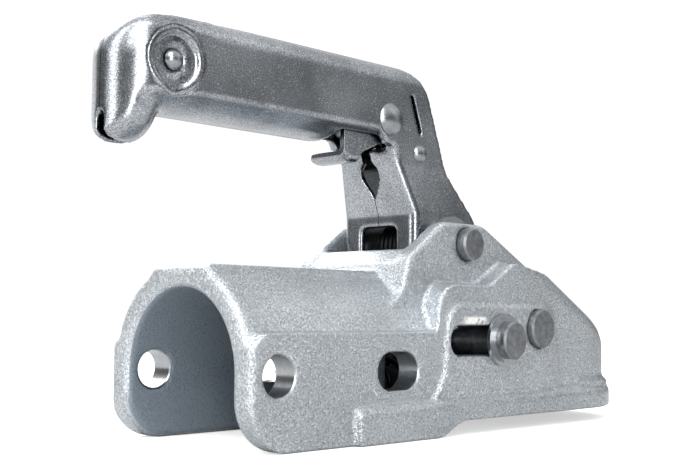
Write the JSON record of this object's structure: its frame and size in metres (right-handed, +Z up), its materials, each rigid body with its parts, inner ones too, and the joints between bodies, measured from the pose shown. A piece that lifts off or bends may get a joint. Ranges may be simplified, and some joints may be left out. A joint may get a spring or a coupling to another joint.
{
  "type": "trailer coupling head",
  "caption": "Cast trailer coupling head with a round drawbar sleeve, ball socket, locking slide and a folded steel handle with a finger trigger.",
  "frame": {"origin": "on the rear cross bolt's axis, midway between the side walls", "axes": "+X forward to the ball along the drawbar, +Y across to the left, +Z up"},
  "size_m": [0.277, 0.0992, 0.15],
  "materials": {
    "zinc_casting": "zinc plated over a shot-blasted casting, speckled",
    "zinc_pressing": "bright zinc plated pressed sheet with fine scratches",
    "turned_steel": "turned pin ends, zinc plated",
    "washer_steel": "bright plated washers and rivets",
    "spring_steel": "dark oiled spring wire",
    "dark_steel": "oiled inner castings"
  },
  "bodies": {
    "housing": {"housing": "zinc_casting", "pivot_pin": "turned_steel", "catch_disc": "dark_steel", "pivot_washer_left": "washer_steel", "pivot_washer_right": "washer_steel", "handle_spring": "spring_steel", "spring_guide": "dark_steel", "closing_spring": "spring_steel", "claw_pin": "turned_steel"},
    "handle": {"handle": "zinc_pressing", "nose_rivet": "washer_steel", "leg_rivet": "washer_steel", "stop_rivet": "washer_steel", "nose_spacer": "turned_steel", "trigger_bush": "turned_steel", "stop_sleeve": "turned_steel", "pivot_sleeve_left": "turned_steel", "pivot_sleeve_right": "turned_steel", "trigger_spring": "spring_steel"},
    "trigger": {"release_trigger": "zinc_pressing"},
    "slider": {"slide_pin": "turned_steel", "slide_washer_left": "washer_steel", "slide_washer_right": "washer_steel", "slide_block": "dark_steel"},
    "claw": {"ball_claw": "dark_steel"}
  },
  "joints": [
    {"name": "handle_lift", "type": "hinge", "parent": "housing", "child": "handle", "pos_m": [0.1114, 0, 0.0502], "axis": [0, 1, 0], "range_deg": [0, 37.5], "deforming": ["handle_spring"]},
    {"name": "lock_slide", "type": "slide", "parent": "housing", "child": "slider", "axis": [1, 0, 0], "range_m": [-0.027, 0], "deforming": ["closing_spring"]},
    {"name": "claw_swing", "type": "hinge", "parent": "housing", "child": "claw", "pos_m": [0.1462, 0, 0.0156], "axis": [0, 1, 0], "range_deg": [0, 14]},
    {"name": "trigger_pull", "type": "hinge", "parent": "handle", "child": "trigger", "pos_m": [0.0806, 0, 0.1001], "axis": [0, 1, 0], "range_deg": [0, 8], "stiffness_Nm_per_rad": 0.6, "springref_deg": -5.73, "deforming": ["trigger_spring"]}
  ],
  "couplings": [
    {"joint": "lock_slide", "follows": "handle_lift", "m_per_rad": -0.041253},
    {"joint": "claw_swing", "follows": "handle_lift", "ratio": 0.37333}
  ]
}
